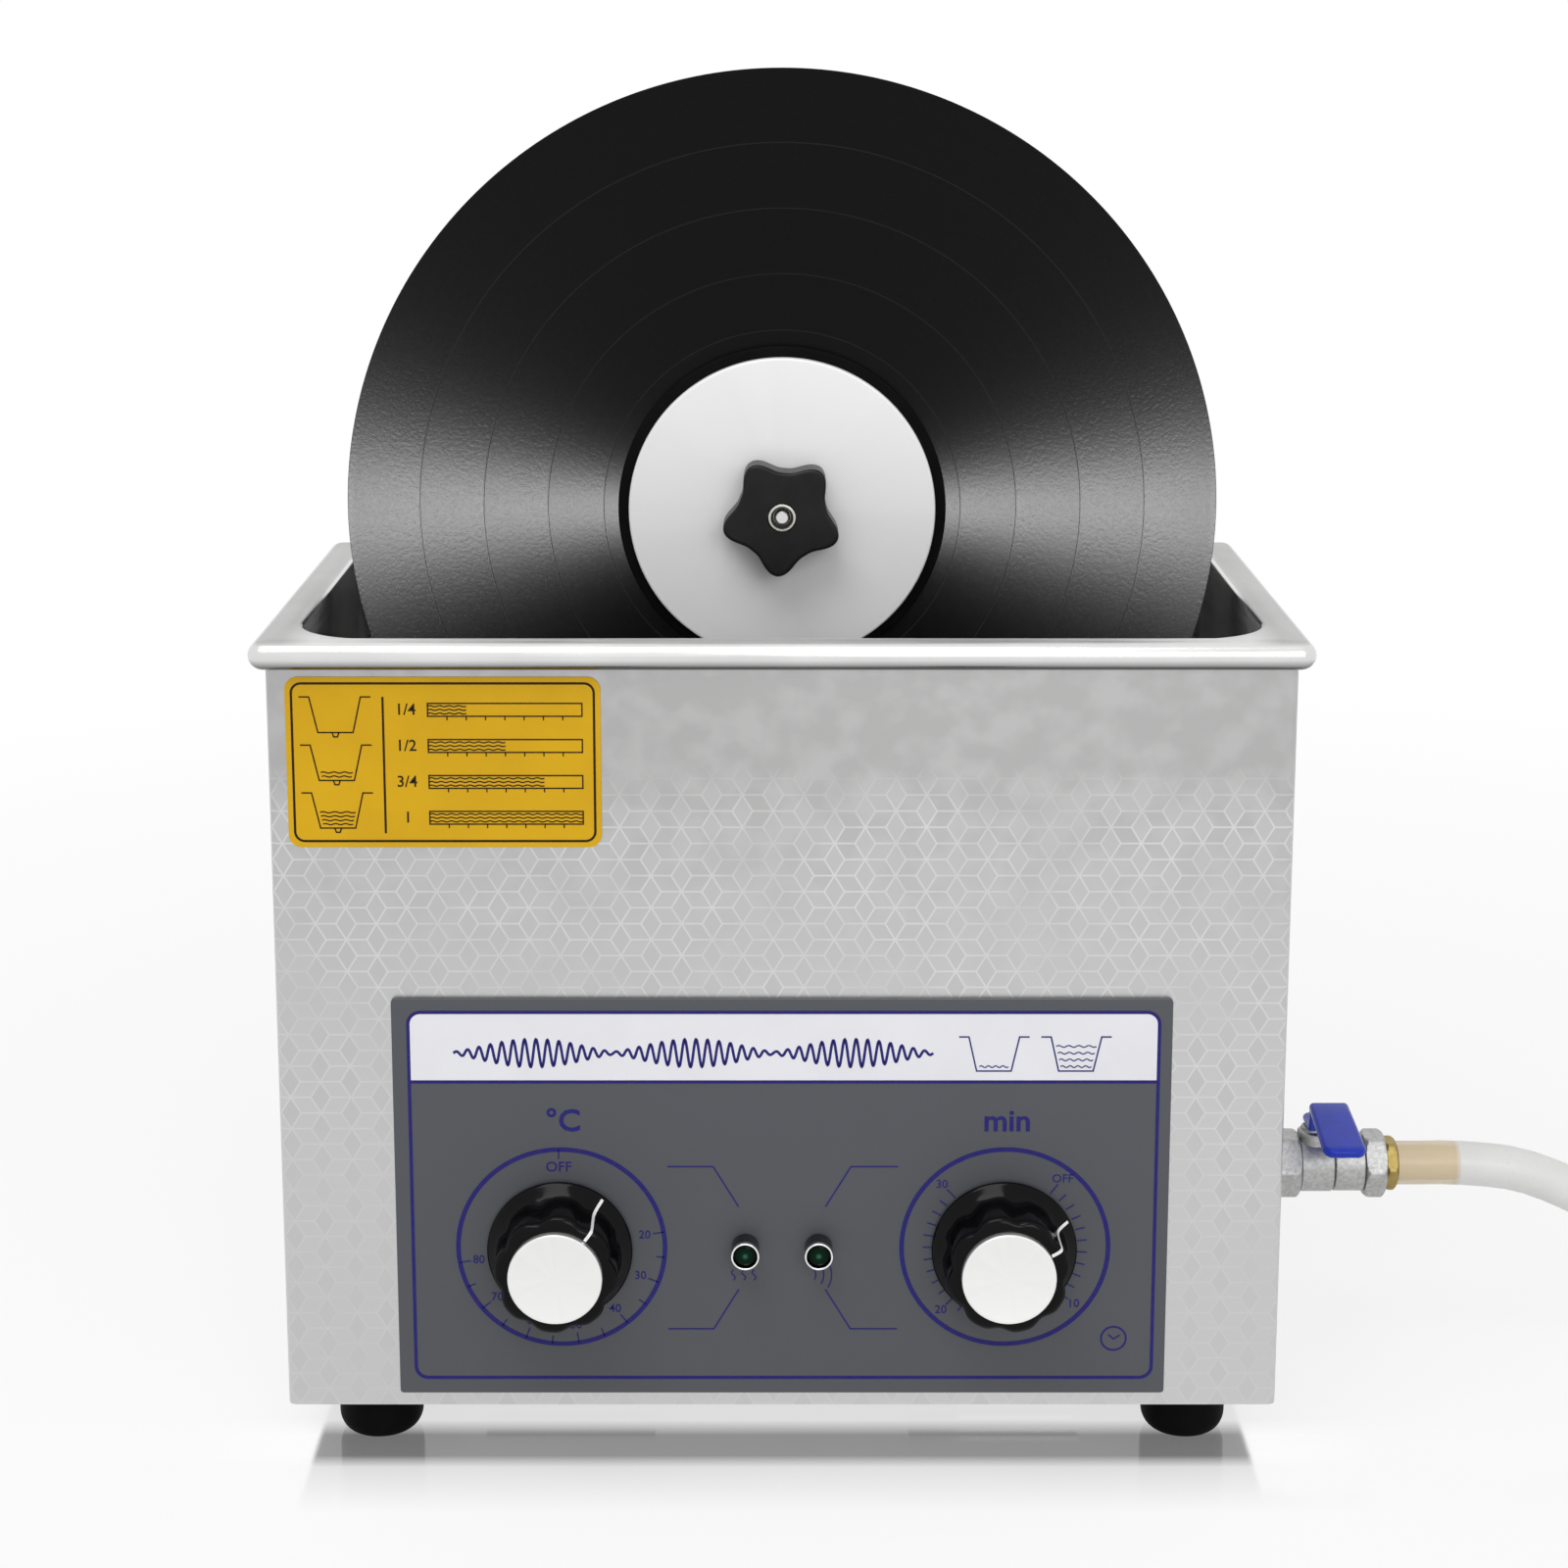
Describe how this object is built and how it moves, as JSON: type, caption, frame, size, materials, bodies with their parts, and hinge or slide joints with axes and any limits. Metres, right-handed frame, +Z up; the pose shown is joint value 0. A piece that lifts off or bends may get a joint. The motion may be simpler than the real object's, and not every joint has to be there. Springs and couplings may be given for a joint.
{
  "type": "ultrasonic record cleaner",
  "caption": "Bench ultrasonic bath of sheet steel with two dials, a drain valve and hose, and a motor spindle that turns a record upright in the tank.",
  "frame": {"origin": "middle of the footprint of the whole object without its hose, on the surface that the feet stand on", "axes": "+Z up, -Y towards the front with the dials, +X towards the drain valve"},
  "size_m": [0.6727, 0.2767, 0.4568],
  "materials": {
    "satin_steel": "satin sheet with an embossed cube pattern",
    "bright_steel": "bright",
    "cast_steel": "as cast, tumbled",
    "chrome": "mirror chrome",
    "spun_aluminium": "fine spun rings",
    "satin_aluminium": "bead blasted, nearly white",
    "brass": "turned",
    "grey_panel": "printed film, satin",
    "gloss_black": "glossy",
    "matte_black": "fine matte",
    "vinyl": "pressed with fine grooves",
    "rubber": "matte",
    "blue_dip": "glossy dipped sleeve",
    "green_lens": "dark green, unlit",
    "milky_hose": "translucent, milky",
    "ceramic": "ceramic and metal stack, hidden",
    "heater_mat": "silicone mat, hidden"
  },
  "bodies": {
    "cleaner": {"tank": "bright_steel", "housing_shell": "satin_steel", "bottom_plate": "satin_steel", "foot_front_left": "rubber", "foot_front_right": "rubber", "foot_rear_left": "rubber", "foot_rear_right": "rubber", "control_panel": "grey_panel", "heating_lamp_bezel": "chrome", "heating_lamp_lens": "green_lens", "cleaning_lamp_bezel": "chrome", "cleaning_lamp_lens": "green_lens", "thermostat_body": "cast_steel", "timer_body": "cast_steel", "transducer_1": "ceramic", "transducer_2": "ceramic", "transducer_3": "ceramic", "heater_pad": "heater_mat", "drain_fitting": "cast_steel", "valve_body": "cast_steel", "valve_end": "cast_steel", "hose_barb": "brass", "drain_hose": "milky_hose", "hose_coil": "milky_hose", "power_inlet": "matte_black", "switch_frame": "matte_black"},
    "temperature_dial": {"thermostat_shaft": "bright_steel", "temperature_knob": "gloss_black", "temperature_knob_cap": "spun_aluminium"},
    "time_dial": {"timer_shaft": "bright_steel", "time_knob": "gloss_black", "time_knob_cap": "spun_aluminium"},
    "drain_lever": {"valve_lever": "blue_dip", "lever_nut": "bright_steel", "valve_stem": "bright_steel", "valve_ball": "chrome"},
    "power_switch": {"switch_rocker": "gloss_black"},
    "drive_unit": {"rim_bracket": "satin_steel", "motor_case": "matte_black", "motor_cover": "matte_black", "spindle_bush": "brass", "power_jack": "matte_black"},
    "clamp_pad_left": {"clamp_pad_left": "rubber"},
    "clamp_pad_right": {"clamp_pad_right": "rubber"},
    "clamp_screw_left": {"clamp_screw_left": "matte_black"},
    "clamp_screw_right": {"clamp_screw_right": "matte_black"},
    "spindle": {"spindle_rod": "bright_steel", "rear_disc": "satin_aluminium", "rear_seal": "rubber"},
    "record": {"record": "vinyl"},
    "front_clamp": {"front_disc": "satin_aluminium", "front_seal": "rubber"},
    "knob_washer": {"knob_washer": "bright_steel"},
    "star_knob": {"star_knob": "matte_black", "knob_insert": "bright_steel"}
  },
  "joints": [
    {"name": "temperature_turn", "type": "hinge", "parent": "cleaner", "child": "temperature_dial", "pos_m": [-0.10925, -0.1029, 0.0768], "axis": [0, 1, 0], "range_deg": [-38, 223]},
    {"name": "time_turn", "type": "hinge", "parent": "cleaner", "child": "time_dial", "pos_m": [0.03635, -0.1029, 0.0768], "axis": [0, 1, 0], "range_deg": [-24.7, 253.3]},
    {"name": "drain_lever_turn", "type": "hinge", "parent": "cleaner", "child": "drain_lever", "pos_m": [0.15605, -0.0131, 0.0709], "axis": [0, 0, 1], "range_deg": [0, 90]},
    {"name": "power_switch_rock", "type": "hinge", "parent": "cleaner", "child": "power_switch", "pos_m": [-0.09845, 0.0767, 0.06], "axis": [1, 0, 0], "range_deg": [0, 24]},
    {"name": "drive_lift", "type": "slide", "parent": "cleaner", "child": "drive_unit", "axis": [0, 0, 1], "range_m": [0, 0.15]},
    {"name": "clamp_travel_left", "type": "slide", "parent": "drive_unit", "child": "clamp_pad_left", "axis": [0, 1, 0], "range_m": [0, 0.0035]},
    {"name": "clamp_turn_left", "type": "hinge", "parent": "clamp_pad_left", "child": "clamp_screw_left", "pos_m": [-0.09045, 0.0807, 0.274], "axis": [0, 1, 0], "range_deg": [0, 1250]},
    {"name": "clamp_travel_right", "type": "slide", "parent": "drive_unit", "child": "clamp_pad_right", "axis": [0, 1, 0], "range_m": [0, 0.0035]},
    {"name": "clamp_turn_right", "type": "hinge", "parent": "clamp_pad_right", "child": "clamp_screw_right", "pos_m": [0.01755, 0.0807, 0.274], "axis": [0, 1, 0], "range_deg": [0, 1250]},
    {"name": "spindle_spin", "type": "hinge", "parent": "drive_unit", "child": "spindle", "pos_m": [-0.03645, 0.0009, 0.306], "axis": [0, 1, 0], "continuous": true},
    {"name": "record_slide", "type": "slide", "parent": "spindle", "child": "record", "axis": [0, -1, 0], "range_m": [0, 0.03]},
    {"name": "front_clamp_slide", "type": "slide", "parent": "record", "child": "front_clamp", "axis": [0, -1, 0], "range_m": [0, 0.02]},
    {"name": "knob_travel", "type": "slide", "parent": "front_clamp", "child": "knob_washer", "axis": [0, -1, 0], "range_m": [0, 0.0105]},
    {"name": "knob_turn", "type": "hinge", "parent": "knob_washer", "child": "star_knob", "pos_m": [-0.03645, 0.0009, 0.306], "axis": [0, -1, 0], "range_deg": [0, 4680]}
  ],
  "couplings": [
    {"joint": "knob_travel", "follows": "knob_turn", "m_per_rad": 0.00012732},
    {"joint": "clamp_travel_left", "follows": "clamp_turn_left", "m_per_rad": 0.00015915},
    {"joint": "clamp_travel_right", "follows": "clamp_turn_right", "m_per_rad": 0.00015915}
  ]
}
